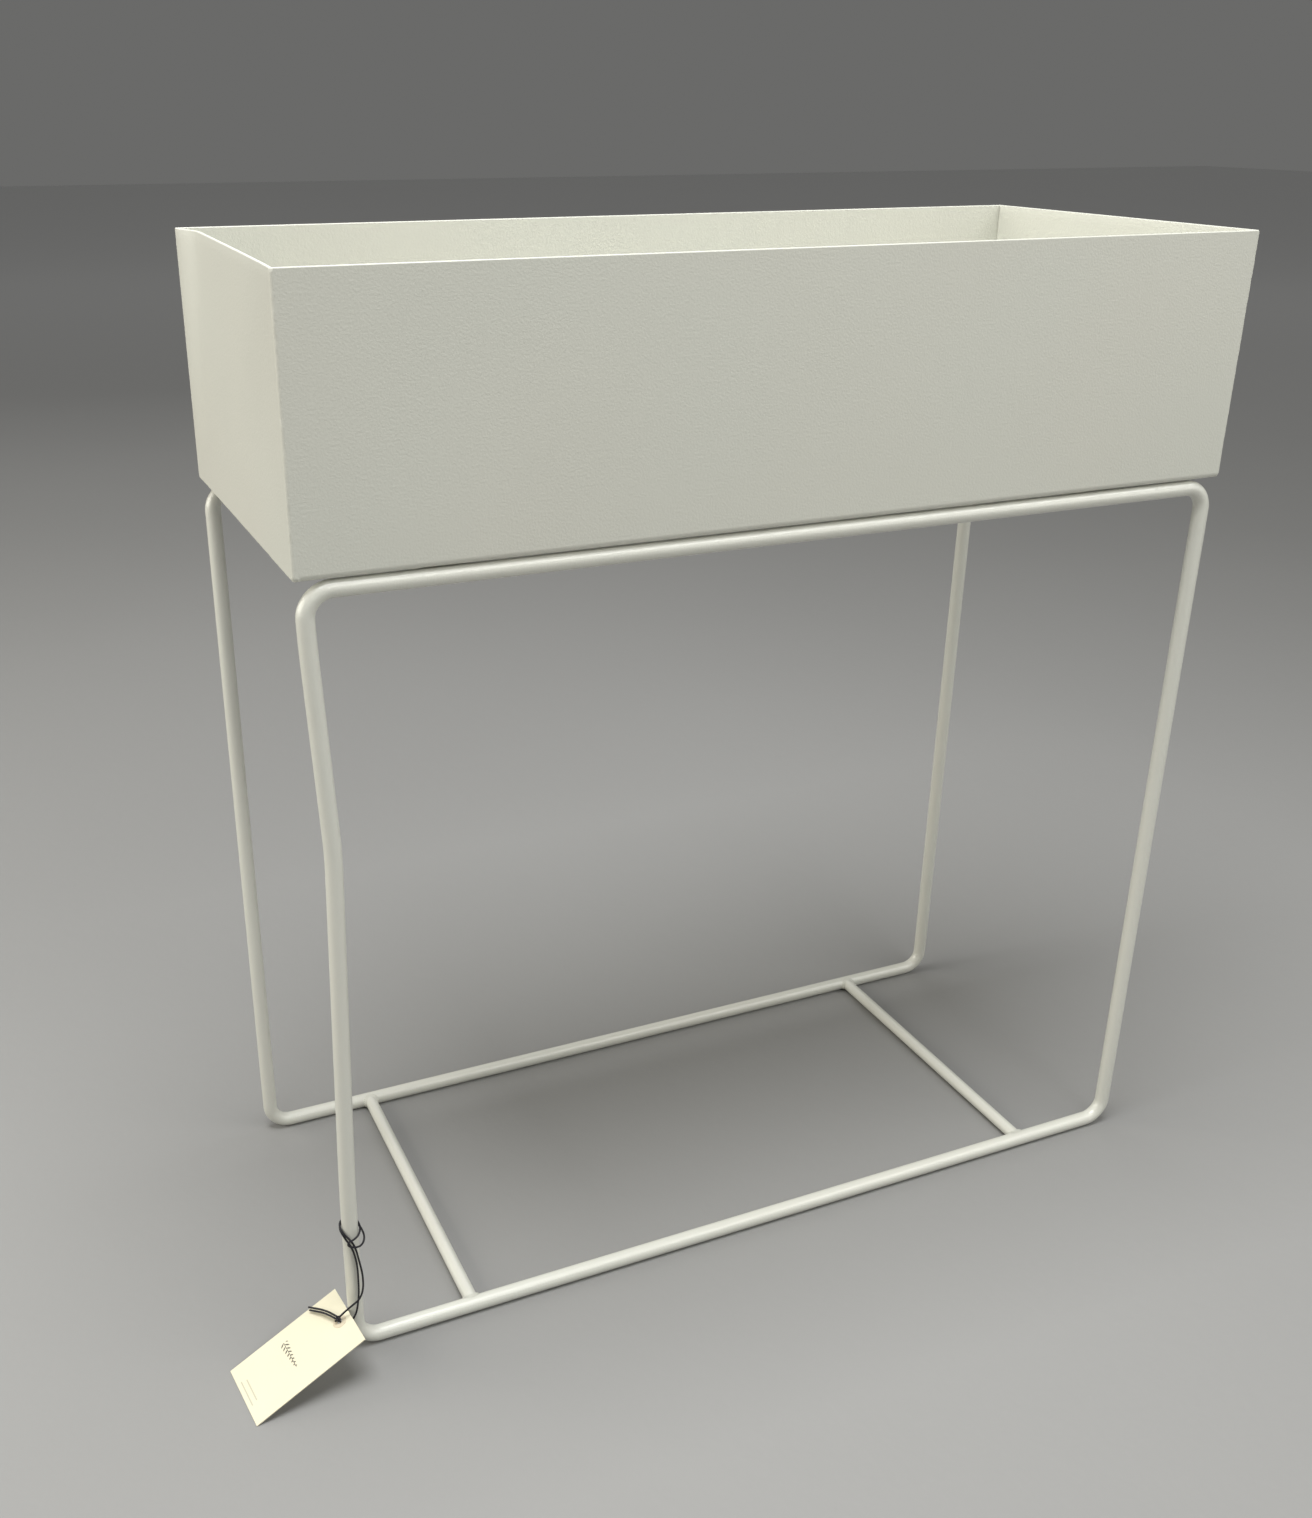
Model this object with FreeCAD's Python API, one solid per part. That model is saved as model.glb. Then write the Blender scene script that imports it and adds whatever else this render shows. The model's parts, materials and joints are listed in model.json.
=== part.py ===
import FreeCAD, Part
import math
import os

V = FreeCAD.Vector

# Raised planter: a folded and welded sheet-steel box on a frame of two bent round-bar loops.
# Millimetres. X runs along the long side, the front faces -Y, Z is up.
# The origin is on the floor, under the middle of the planter.

# Box
box_length = 600.0
box_depth = 250.0
box_height = 150.0
sheet = 2.0
fold_radius = 3.5            # outside radius of the two long folds
seam_radius = 1.5            # the end seams are ground to this radius
rim_radius = 0.6             # the coating rounds the cut rim
total_height = 650.0

# Frame
bar_diameter = 10.0
bend_radius = 15.0           # to the bar's centre line
frame_inset_x = 1.0          # the loops stand this far inside the box ends
frame_inset_y = 0.0          # and this far inside its front and rear faces
box_gap = 1.0                # air between the bars and the box bottom
rod_diameter = 9.0
rod_spacing = 434.0          # between the centre lines of the two lower rods
bead_leg = 1.7               # leg of the fillet welds
bead_sink = 0.85             # how far they reach into the hollow beside the round bar
bead_trim = 0.25             # the lower beads are dressed this far inside the bar's own height

# Cross bars under the box, and what fixes the box to them
cross_bar_width = 25.0
cross_bar_thickness = 4.0
screw_spacing_y = 170.0
screw_diameter = 6.0
screw_length = 20.0
head_diameter = 11.0
head_height = 3.3
hex_key = 4.0
socket_depth = 2.0
hole_clearance = 0.25        # on the radius, in sheet, bars, washers and bushes
thread_clearance = 0.05      # on the radius, in the weld nuts
washer_diameter = 18.0
washer_thickness = 1.6
seal_diameter = 16.0
seal_thickness = 1.5
bush_diameter = 14.0
nut_width = 10.0             # across flats
nut_height = 5.0
nut_turned_diameter = 9.6    # of the 45 degree cone that takes off the nut's corners

# Hang tag: a card that stands on one short edge and leans towards the front left leg
card_width = 49.0
card_length = 78.0
card_thickness = 0.6
card_tilt = 24.8             # degrees up from the floor
card_turn = 6.75             # degrees from +X towards +Y, the way that the card climbs
card_foot = V(-369.6, -134.9, 0.0)   # middle of the edge that stands on the floor
card_hole_radius = 1.6
card_hole_inset = 7.5        # from the card's upper edge to the middle of the hole
patch_diameter = 9.0
patch_thickness = 0.25
cord_diameter = 1.2
knot_radius = 2.4
knot_lift = 2.75             # knot's middle over the card's mid-plane

tag_leg = V(-299.0, -125.0, 0.0)     # the leg's outer faces, beside which the tag's places are given

# The cord: from the knot up to the leg, round it, back through its own bight as a hitch,
# round the leg again, down, under the card and up through the hole into the knot.
cord_route = [
    (-306.9, -127.5, 32.9), (-303.3, -127.9, 36.5), (-298.5, -128.5, 40.2), (-293.2, -129.3, 44.3),
    (-290.4, -129.0, 51.0), (-289.9, -128.3, 61.5), (-291.5, -127.8, 72.6), (-292.7, -127.2, 81.2),
    (-294.6, -126.4, 87.2), (-299.1, -124.0, 92.8), (-300.3, -119.1, 95.7), (-297.9, -114.9, 96.3),
    (-293.1, -113.7, 95.9), (-288.9, -116.1, 94.7), (-287.7, -120.9, 93.2), (-289.4, -125.5, 91.3),
    (-293.4, -128.2, 90.0), (-297.2, -127.8, 89.0), (-297.6, -127.5, 85.6), (-293.5, -128.8, 84.2),
    (-288.9, -127.5, 83.6), (-285.8, -123.4, 85.6), (-286.7, -118.9, 89.8), (-289.6, -115.4, 92.9),
    (-294.1, -113.6, 94.2), (-298.6, -115.5, 94.6), (-300.4, -120.1, 93.8), (-298.7, -124.4, 90.1),
    (-296.0, -126.3, 85.0), (-294.2, -127.2, 79.6), (-292.7, -127.5, 69.5), (-292.7, -127.4, 57.0),
    (-293.0, -127.2, 46.5), (-294.1, -127.3, 38.6), (-295.4, -127.8, 33.6), (-297.5, -128.1, 30.0),
    (-300.6, -128.0, 27.6), (-303.8, -127.5, 26.4), (-305.3, -127.35, 28.5), (-306.4, -127.4, 30.9)]
long_tail_route = [
    (-307.3, -126.3, 33.4), (-309.6, -122.4, 33.3), (-312.8, -116.6, 32.1), (-316.8, -110.2, 29.5),
    (-320.4, -104.8, 27.2)]
short_tail_route = [
    (-308.3, -126.9, 32.6), (-310.5, -123.0, 32.3), (-313.7, -117.3, 31.1), (-317.5, -111.3, 28.6),
    (-320.3, -107.2, 26.9)]

# Places worked out from the sizes above
box_bottom = total_height - box_height
floor_top = box_bottom + sheet
inner_fold = max(fold_radius - sheet, 0.2)
bar_radius = bar_diameter / 2
loop_x = box_length / 2 - frame_inset_x - bar_radius
loop_y = box_depth / 2 - frame_inset_y - bar_radius
low_z = bar_radius
high_z = box_bottom - box_gap - bar_radius
rod_x = rod_spacing / 2
rod_radius = rod_diameter / 2
rod_z = max(low_z, rod_radius)         # a rod thicker than the bars would lie on the floor
cross_top = high_z + cross_bar_thickness / 2
cross_bottom = high_z - cross_bar_thickness / 2
hole_radius = screw_diameter / 2 + hole_clearance
seal_top = floor_top + seal_thickness
head_base = seal_top + washer_thickness
sides = {"left": -1, "right": 1}
ends = {"front": -1, "rear": 1}
corners = {f"{e}_{s}": (sides[s] * rod_x, ends[e] * screw_spacing_y / 2) for e in ends for s in sides}


def block(x0, x1, y0, y1, z0, z1):
    return Part.makeBox(x1 - x0, y1 - y0, z1 - z0, V(x0, y0, z0))


def rod(radius, start, end):
    return Part.makeCylinder(radius, (end - start).Length, start, end - start)


def ring(diameter, x, y, bottom, top):
    """A washer or bush round the screw at x, y."""
    hole = rod(hole_radius, V(x, y, bottom - 1), V(x, y, top + 1))
    return rod(diameter / 2, V(x, y, bottom), V(x, y, top)).cut(hole)


def trough(half_x, half_y, bottom, top, radius):
    """A block whose two long lower edges are rounded."""
    body = block(-half_x, half_x, -half_y, half_y, bottom, top)
    folds = [e for e in body.Edges
             if abs(e.BoundBox.XLength - 2 * half_x) < 0.01 and abs(e.BoundBox.ZMax - bottom) < 0.01]
    return body.makeFillet(radius, folds)


def rim_edges(shape, half_x, half_y):
    """Edges of the open rim on the outline with these half sizes."""
    found = []
    for e in shape.Edges:
        b = e.BoundBox
        on_rim = abs(b.ZMin - total_height) < 0.01 and abs(b.ZMax - total_height) < 0.01
        near_x = min(abs(b.XMin + half_x), abs(b.XMax - half_x)) < seam_radius
        near_y = min(abs(b.YMin + half_y), abs(b.YMax - half_y)) < seam_radius
        if on_rim and (near_x or near_y):
            found.append(e)
    return found


def box_shell():
    """The whole box as if it were one piece, with every edge rounded."""
    half_x, half_y = box_length / 2, box_depth / 2
    outer = trough(half_x, half_y, box_bottom, total_height, fold_radius)
    end_edges = [e for e in outer.Edges
                 if e.BoundBox.XLength < 0.01 and abs(abs(e.BoundBox.XMin) - half_x) < 0.01
                 and e.BoundBox.ZMin < total_height - 1]
    outer = outer.makeFillet(seam_radius, end_edges)
    outer = outer.makeFillet(rim_radius, rim_edges(outer, half_x, half_y))
    inner = trough(half_x - sheet, half_y - sheet, floor_top, total_height + 10, inner_fold)
    shell = outer.cut(inner)
    shell = shell.makeFillet(rim_radius, rim_edges(shell, half_x - sheet, half_y - sheet))
    for x, y in corners.values():
        shell = shell.cut(Part.makeCylinder(hole_radius, sheet + 2, V(x, y, box_bottom - 1)))
    return shell


def box_pieces():
    """The shell parted at its real joints: wrap, end panels, and the welds that close the corners."""
    shell = box_shell()
    reach_y = box_depth / 2 + 1
    inner_x = box_length / 2 - sheet
    pieces = {"box_wrap": shell.common(
        block(-inner_x, inner_x, -reach_y, reach_y, box_bottom - 1, total_height + 1))}
    panel_outline = trough(box_length, box_depth / 2 - sheet, floor_top, total_height + 1, inner_fold)
    for side, sign in sides.items():
        x0, x1 = sorted((sign * inner_x, sign * (box_length / 2 + 1)))
        end = shell.common(block(x0, x1, -reach_y, reach_y, box_bottom - 1, total_height + 1))
        pieces[f"{side}_end_panel"] = end.common(panel_outline)
        pieces[f"{side}_end_weld"] = end.cut(panel_outline)
    return pieces


def loop(y):
    """A closed rounded rectangle of round bar, standing in the plane at y."""
    flat_x = loop_x - bend_radius
    flat_low, flat_high = low_z + bend_radius, high_z - bend_radius
    legs = [rod(bar_radius, V(s * loop_x, y, flat_low), V(s * loop_x, y, flat_high)) for s in (-1, 1)]
    bars = [rod(bar_radius, V(-flat_x, y, z), V(flat_x, y, z)) for z in (low_z, high_z)]
    bends = []
    for centre_x, centre_z, start in ((flat_x, flat_high, 0), (-flat_x, flat_high, 90),
                                      (-flat_x, flat_low, 180), (flat_x, flat_low, 270)):
        bend = Part.makeTorus(bend_radius, bar_radius, V(0, 0, 0), V(0, 0, 1), 0, 360, 90)
        bend.rotate(V(0, 0, 0), V(0, 0, 1), start)
        bend.rotate(V(0, 0, 0), V(1, 0, 0), 90)
        bend.translate(V(centre_x, y, centre_z))
        bends.append(bend)
    return legs[0].multiFuse(legs[1:] + bars + bends).removeSplitter()


def lower_rod(sign, loops):
    """A round rod at floor level with a fillet weld round each end, fitted to the two loops."""
    x = sign * rod_x
    bar = rod(rod_radius, V(x, -loop_y, rod_z), V(x, loop_y, rod_z))
    reach = bead_leg + bead_sink
    slab = block(x - box_length, x + box_length, -loop_y, loop_y, bead_trim, bar_diameter - bead_trim)
    beads = []
    for sign_y in ends.values():
        inward = V(0, -sign_y, 0)
        base = V(x, sign_y * (loop_y - bar_radius + bead_sink), rod_z)
        cone = Part.makeCone(rod_radius + reach, rod_radius, reach, base, inward)
        beads.append(fitted(cone.common(slab).cut(bar), loops))
    return fitted(bar, loops), Part.makeCompound(beads)


def cross_bar(sign, loops):
    """A flat bar under the box with its two screw holes and four weld beads, fitted to the two loops."""
    x = sign * rod_x
    half = cross_bar_width / 2
    flat = block(x - half, x + half, -loop_y, loop_y, cross_bottom, cross_top)
    beads = []
    for sign_y in ends.values():
        edge_y = sign_y * (loop_y - bar_radius)
        for z in (cross_top, cross_bottom):
            bead = rod(bead_leg, V(x - half, edge_y, z), V(x + half, edge_y, z)).cut(flat)
            beads.append(fitted(bead, loops))
        hole_y = sign_y * screw_spacing_y / 2
        flat = flat.cut(Part.makeCylinder(hole_radius, 2 * cross_bar_thickness,
                                          V(x, hole_y, cross_bottom - cross_bar_thickness / 2)))
    return fitted(flat, loops), Part.makeCompound(beads)


def fitted(shape, loops):
    for bar in loops:
        shape = shape.cut(bar)
    return shape


def frame_pieces():
    loops = [loop(-loop_y), loop(loop_y)]
    pieces = {"front_loop": loops[0], "rear_loop": loops[1]}
    for side, sign in sides.items():
        pieces[f"lower_rod_{side}"], pieces[f"lower_rod_welds_{side}"] = lower_rod(sign, loops)
        pieces[f"cross_bar_{side}"], pieces[f"cross_bar_welds_{side}"] = cross_bar(sign, loops)
    return pieces


def screw(x, y):
    """Button-head socket screw, seated on its washer."""
    head_radius = head_diameter / 2
    dome_radius = (head_radius ** 2 + head_height ** 2) / (2 * head_height)
    dome = Part.makeSphere(dome_radius, V(x, y, head_base + head_height - dome_radius))
    head = dome.common(Part.makeCylinder(head_radius, head_height, V(x, y, head_base)))
    socket = prism(hex_key, head_height, x, y, head_base + head_height - socket_depth)
    shank = Part.makeCylinder(screw_diameter / 2, screw_length, V(x, y, head_base - screw_length))
    return head.fuse(shank).removeSplitter().cut(socket)


def prism(width, height, x, y, z):
    """A hexagonal prism, given its width across flats."""
    reach = width / math.sqrt(3)
    turn = [math.radians(60 * k) for k in range(7)]
    points = [V(x + reach * math.cos(a), y + reach * math.sin(a), z) for a in turn]
    return Part.Face(Part.makePolygon(points)).extrude(V(0, 0, height))


def nut(x, y):
    """Hexagon weld nut under the cross bar, with its lower corners turned down."""
    z = cross_bottom - nut_height
    turned_radius = nut_turned_diameter / 2
    turned = Part.makeCone(turned_radius, turned_radius + nut_height, nut_height, V(x, y, z))
    body = prism(nut_width, nut_height, x, y, z).common(turned)
    bore = screw_diameter / 2 + thread_clearance
    return body.cut(Part.makeCylinder(bore, nut_height + 2, V(x, y, z - 1)))


def fixing_pieces():
    pieces = {}
    for name, (x, y) in corners.items():
        pieces[f"box_screw_{name}"] = screw(x, y)
        pieces[f"steel_washer_{name}"] = ring(washer_diameter, x, y, seal_top, head_base)
        pieces[f"sealing_washer_{name}"] = ring(seal_diameter, x, y, floor_top, seal_top)
        pieces[f"spacer_bush_{name}"] = ring(bush_diameter, x, y, cross_top, box_bottom)
        pieces[f"weld_nut_{name}"] = nut(x, y)
    return pieces


def on_card(shape):
    """Moves a shape from the card's own frame (u across, v up the card, w off its mid-plane) to its place."""
    lean = FreeCAD.Rotation(V(0, 0, 1), card_turn - 90).multiply(FreeCAD.Rotation(V(1, 0, 0), card_tilt))
    lift = card_thickness / 2 * math.cos(math.radians(card_tilt))
    placed = shape.copy()
    placed.Placement = FreeCAD.Placement(card_foot + V(0, 0, lift), lean)
    return placed


def tube(name, route, diameter):
    """Straight runs joined by tangent arcs, each as large as its two runs allow."""
    points = [V(*p) for p in route]
    edges, radii, start = [], [], points[0]
    for before, here, after in zip(points, points[1:], points[2:]):
        back, on = before - here, after - here
        turn = math.pi - back.getAngle(on)
        trim = 0.45 * min(back.Length, on.Length)
        radii.append(trim / math.tan(turn / 2))
        back.normalize()
        on.normalize()
        first, last = here + back * trim, here + on * trim
        middle_way = (back + on).normalize()
        to_centre = radii[-1] / math.cos(turn / 2)
        middle = here + middle_way * (to_centre - radii[-1])
        edges += [Part.LineSegment(start, first).toShape(), Part.Arc(first, middle, last).toShape()]
        start = last
    edges.append(Part.LineSegment(start, points[-1]).toShape())
    path = Part.Wire(edges)
    section = Part.Wire(Part.makeCircle(diameter / 2, points[0], points[1] - points[0]))
    solid = path.makePipeShell([section], True, True)
    ideal = math.pi * diameter ** 2 / 4 * path.Length
    print(name, "length", round(path.Length, 1), "volume/ideal", round(solid.Volume / ideal, 4),
          "radii", [round(r, 1) for r in radii])
    return solid


def tag_pieces():
    hole_v = card_length - card_hole_inset
    half, mid = card_width / 2, card_thickness / 2
    card = block(-half, half, 0, card_length, -mid, mid)
    hole = Part.makeCylinder(card_hole_radius, 10, V(0, hole_v, -5))
    patch = Part.makeCylinder(patch_diameter / 2, patch_thickness, V(0, hole_v, mid))
    knot = Part.makeSphere(knot_radius, V(0, hole_v, knot_lift))
    pieces = {"tag_card": on_card(card.cut(hole)),
              "tag_patch": on_card(patch.cut(hole)),
              "tag_knot": on_card(knot),
              "tag_cord": tube("tag_cord", cord_route, cord_diameter),
              "tag_tail_long": tube("tag_tail_long", long_tail_route, cord_diameter),
              "tag_tail_short": tube("tag_tail_short", short_tail_route, cord_diameter)}
    for shape in pieces.values():
        shape.translate(V(-loop_x - bar_radius, -loop_y - bar_radius, 0) - tag_leg)
    return pieces


os.makedirs("parts", exist_ok=True)
nodes = {**box_pieces(), **frame_pieces(), **fixing_pieces(), **tag_pieces()}
for node, shape in nodes.items():
    shape.exportStep(f"parts/{node}.step")
    box = shape.BoundBox
    print(node, "solids", len(shape.Solids), "valid", shape.isValid(), "volume", round(shape.Volume, 1),
          "x", round(box.XMin, 2), round(box.XMax, 2), "y", round(box.YMin, 2), round(box.YMax, 2),
          "z", round(box.ZMin, 2), round(box.ZMax, 2))
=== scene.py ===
import json
import math

import bmesh
import bpy
import numpy as np
from mathutils import Matrix, Vector

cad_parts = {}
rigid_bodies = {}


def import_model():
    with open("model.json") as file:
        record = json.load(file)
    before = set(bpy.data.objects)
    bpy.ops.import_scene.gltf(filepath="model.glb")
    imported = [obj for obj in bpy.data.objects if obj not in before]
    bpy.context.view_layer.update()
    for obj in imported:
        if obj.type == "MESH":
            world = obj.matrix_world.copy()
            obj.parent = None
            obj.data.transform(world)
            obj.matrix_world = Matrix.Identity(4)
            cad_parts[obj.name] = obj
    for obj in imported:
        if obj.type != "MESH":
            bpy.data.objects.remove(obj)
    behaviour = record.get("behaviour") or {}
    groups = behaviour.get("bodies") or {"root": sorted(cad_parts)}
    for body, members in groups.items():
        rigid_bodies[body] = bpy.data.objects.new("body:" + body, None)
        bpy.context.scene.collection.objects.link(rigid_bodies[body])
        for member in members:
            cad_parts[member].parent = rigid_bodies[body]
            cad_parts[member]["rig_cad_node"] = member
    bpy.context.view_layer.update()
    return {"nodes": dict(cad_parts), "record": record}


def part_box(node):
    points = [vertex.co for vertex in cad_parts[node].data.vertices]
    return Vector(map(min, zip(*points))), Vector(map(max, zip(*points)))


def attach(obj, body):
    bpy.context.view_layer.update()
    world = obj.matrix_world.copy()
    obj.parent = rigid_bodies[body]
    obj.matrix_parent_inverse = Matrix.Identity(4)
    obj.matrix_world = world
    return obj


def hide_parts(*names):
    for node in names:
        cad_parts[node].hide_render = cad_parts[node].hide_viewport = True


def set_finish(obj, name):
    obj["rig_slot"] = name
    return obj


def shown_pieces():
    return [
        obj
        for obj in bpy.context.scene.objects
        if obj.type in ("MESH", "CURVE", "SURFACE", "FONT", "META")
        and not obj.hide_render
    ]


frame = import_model()
scene = bpy.context.scene
scene.view_settings.view_transform = "Standard"
print("frame loaded,", len(frame["nodes"]), "nodes")


camera = {"place": (-0.4580, -0.8502, 0.7218), "heading": 23.58, "dip": 23.55, "roll": 0.21,
          "lens": 36.17, "shift": (0.0466, 0.0019)}


def makeCamera(s):
    # heading turns from +Y towards +X, dip is down from the horizon
    optics = bpy.data.cameras.new("studioCamera")
    optics.lens = s["lens"]
    optics.shift_x, optics.shift_y = s["shift"]
    optics.clip_start = 0.01
    body = bpy.data.objects.new("studioCamera", optics)
    scene.collection.objects.link(body)
    body.matrix_world = (Matrix.Translation(s["place"])
                         @ Matrix.Rotation(math.radians(-s["heading"]), 4, "Z")
                         @ Matrix.Rotation(math.radians(90 - s["dip"]), 4, "X")
                         @ Matrix.Rotation(math.radians(s["roll"]), 4, "Z"))
    scene.camera = body


makeCamera(camera)
print("camera placed")


def makePiece(name, grids, body, slotName, stands=(), layers=None, sharpAngle=38):
    # Each grid is rows x columns x 3 points, and four neighbours make a face. Points that coincide at the
    # grids' rims are merged, which closes seams and poles, and then every face is turned outwards.
    faces, first = [], 0
    for grid in grids:
        rows, columns = grid.shape[:2]
        index = first + np.arange(rows * columns).reshape(rows, columns)
        quads = np.stack([index[:-1, :-1], index[:-1, 1:], index[1:, 1:], index[1:, :-1]], -1)
        faces.append(quads.reshape(-1, 4))
        first += rows * columns
    points = np.concatenate([grid.reshape(-1, 3) for grid in grids])
    corners = np.concatenate(faces)
    mesh = bpy.data.meshes.new(name)
    mesh.vertices.add(len(points))
    mesh.vertices.foreach_set("co", points.astype(np.float32).ravel())
    mesh.loops.add(corners.size)
    mesh.loops.foreach_set("vertex_index", corners.ravel().astype(np.int32))
    mesh.polygons.add(len(corners))
    mesh.polygons.foreach_set("loop_start", np.arange(0, corners.size, 4, dtype=np.int32))
    mesh.update(calc_edges=True)
    if layers is not None:
        flat = np.concatenate([layer.reshape(-1, 2) for layer in layers])[corners.ravel()]
        mesh.uv_layers.new(name="lay").uv.foreach_set("vector", flat.astype(np.float32).ravel())
    work = bmesh.new()
    work.from_mesh(mesh)
    bmesh.ops.remove_doubles(work, verts=work.verts, dist=2e-6)
    bmesh.ops.recalc_face_normals(work, faces=work.faces)
    work.to_mesh(mesh)
    work.free()
    mesh.polygons.foreach_set("use_smooth", np.ones(len(mesh.polygons), dtype=bool))
    mesh.set_sharp_from_angle(angle=math.radians(sharpAngle))
    piece = bpy.data.objects.new(name, mesh)
    scene.collection.objects.link(piece)
    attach(piece, body)
    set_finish(piece, slotName)
    if stands:
        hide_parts(*stands)
    return piece


def capped(grid):
    # Adds a first and a last row in which the whole section has shrunk to its middle
    first, last = (np.broadcast_to(grid[k].mean(axis=0), grid[:1].shape) for k in (0, -1))
    return np.concatenate([first, grid, last])


def reachAlong(points):
    # Distance travelled along a line of points, from 0 at the first
    return np.concatenate([[0], np.cumsum(np.linalg.norm(np.diff(points, axis=0), axis=1))])


def wave(along, spans, seed):
    # Slow wander between about -1 and 1: a sum of sines with these wavelengths and seeded phases
    phases = np.random.default_rng(seed).uniform(0, 2 * np.pi, len(spans))
    return sum(np.sin(2 * np.pi * along / span + phase) for span, phase in zip(spans, phases)) / len(spans)


# Hang tag. The card's own frame has u across, v up the card and w off its mid-plane.
tag = {"length": 0.078, "thickness": 0.0006, "tilt": 24.8, "turn": 6.75,
       "foot": (-0.3696, -0.1349, 0.0),
       "holeRadius": 0.0016, "holeInset": 0.0075,
       "patchRadius": 0.0045, "patchThickness": 0.00025, "patchEdge": 0.0001, "patchLift": 0.00002,
       "patchRagged": 0.012, "patchSpans": (0.5, 0.2, 0.1),
       "knotRadius": 0.0024, "knotLift": 0.00275, "knotDepth": 1.05, "knotTurns": 4, "knotLay": 1.2,
       "cordDiameter": 0.0012, "cordStep": 0.00022, "cordColumns": 12, "cordEndOpen": 0.02,
       "plies": 3, "layLength": 0.0036, "plyDepth": 0.14, "plyFull": 1.6}

cordRoute = [
    (-0.3069, -0.1275, 0.0329), (-0.3033, -0.1279, 0.0365), (-0.2985, -0.1285, 0.0402),
    (-0.2932, -0.1293, 0.0443), (-0.2904, -0.1290, 0.0510), (-0.2899, -0.1283, 0.0615),
    (-0.2915, -0.1278, 0.0726), (-0.2927, -0.1272, 0.0812), (-0.2946, -0.1264, 0.0872),
    (-0.2991, -0.1240, 0.0928), (-0.3003, -0.1191, 0.0957), (-0.2979, -0.1149, 0.0963),
    (-0.2931, -0.1137, 0.0959), (-0.2889, -0.1161, 0.0947), (-0.2877, -0.1209, 0.0932),
    (-0.2894, -0.1255, 0.0913), (-0.2934, -0.1282, 0.0900), (-0.2972, -0.1278, 0.0890),
    (-0.2976, -0.1275, 0.0856), (-0.2935, -0.1288, 0.0842), (-0.2889, -0.1275, 0.0836),
    (-0.2858, -0.1234, 0.0856), (-0.2867, -0.1189, 0.0898), (-0.2896, -0.1154, 0.0929),
    (-0.2941, -0.1136, 0.0942), (-0.2986, -0.1155, 0.0946), (-0.3004, -0.1201, 0.0938),
    (-0.2987, -0.1244, 0.0901), (-0.2960, -0.1263, 0.0850), (-0.2942, -0.1272, 0.0796),
    (-0.2927, -0.1275, 0.0695), (-0.2927, -0.1274, 0.0570), (-0.2930, -0.1272, 0.0465),
    (-0.2941, -0.1273, 0.0386), (-0.2954, -0.1278, 0.0336), (-0.2975, -0.1281, 0.0300),
    (-0.3006, -0.1280, 0.0276), (-0.3038, -0.1275, 0.0264), (-0.3053, -0.12735, 0.0285),
    (-0.3064, -0.1274, 0.0309)]
longTailRoute = [(-0.3073, -0.1263, 0.0334), (-0.3096, -0.1224, 0.0333), (-0.3128, -0.1166, 0.0321),
                 (-0.3168, -0.1102, 0.0295), (-0.3204, -0.1048, 0.0272)]
shortTailRoute = [(-0.3083, -0.1269, 0.0326), (-0.3105, -0.1230, 0.0323), (-0.3137, -0.1173, 0.0311),
                  (-0.3175, -0.1113, 0.0286), (-0.3203, -0.1072, 0.0269)]


def splinePoints(route, step):
    # The NURBS spline that has the route's points as its control points, read back at even steps
    curve = bpy.data.curves.new("routeCurve", "CURVE")
    curve.dimensions = "3D"
    curve.resolution_u = 24
    spline = curve.splines.new("NURBS")
    spline.points.add(len(route) - 1)
    spline.points.foreach_set("co", np.column_stack([route, np.ones(len(route))]).ravel())
    spline.order_u = 3
    spline.use_endpoint_u = True
    holder = bpy.data.objects.new("routeCurve", curve)
    scene.collection.objects.link(holder)
    line = bpy.data.meshes.new_from_object(holder.evaluated_get(bpy.context.evaluated_depsgraph_get()))
    points = np.empty(len(line.vertices) * 3, np.float32)
    line.vertices.foreach_get("co", points)
    points = points.reshape(-1, 3).astype(float)
    bpy.data.objects.remove(holder)
    bpy.data.meshes.remove(line)
    reach = reachAlong(points)
    even = np.linspace(0, reach[-1], int(reach[-1] / step) + 2)
    return np.column_stack([np.interp(even, reach, points[:, k]) for k in range(3)]), even


def pathFrames(points):
    # Two normals at each station, carried along the path with the least turning. The first one comes
    # from a slant that no cord here starts along.
    tangents = np.gradient(points, axis=0)
    tangents /= np.linalg.norm(tangents, axis=1)[:, None]
    normal = np.cross(tangents[0], (0.31, 0.52, 0.79))
    normals = np.empty_like(points)
    for k, tangent in enumerate(tangents):
        normal = normal - tangent * (normal @ tangent)
        normal = normal / np.linalg.norm(normal)
        normals[k] = normal
    return normals, np.cross(tangents, normals)


def plyTube(points, normals, binormals, turns, shrink, s):
    # A circle carried along the points, full on the plies and dented between them: its radius is
    # r (1 + depth (full |sin| - 1)), where the sine runs round the section and on with the lay's turns.
    around = np.linspace(0, 2 * np.pi, s["cordColumns"] + 1)
    phase = s["plies"] / 2 * (around + 2 * np.pi * turns[:, None])
    dent = 1 + s["plyDepth"] * (s["plyFull"] * np.abs(np.sin(phase)) - 1)
    ring = (normals[:, None] * np.cos(around)[None, :, None]
            + binormals[:, None] * np.sin(around)[None, :, None])
    return points[:, None] + ring * (s["cordDiameter"] / 2 * shrink[:, None] * dent)[..., None]


def layMap(along, s):
    # The map that the fibres follow: one way counts along the cord, the other goes round it
    around = np.linspace(0, 1, s["cordColumns"] + 1)
    return np.stack(np.broadcast_arrays(along[:, None], around), -1)


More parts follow.
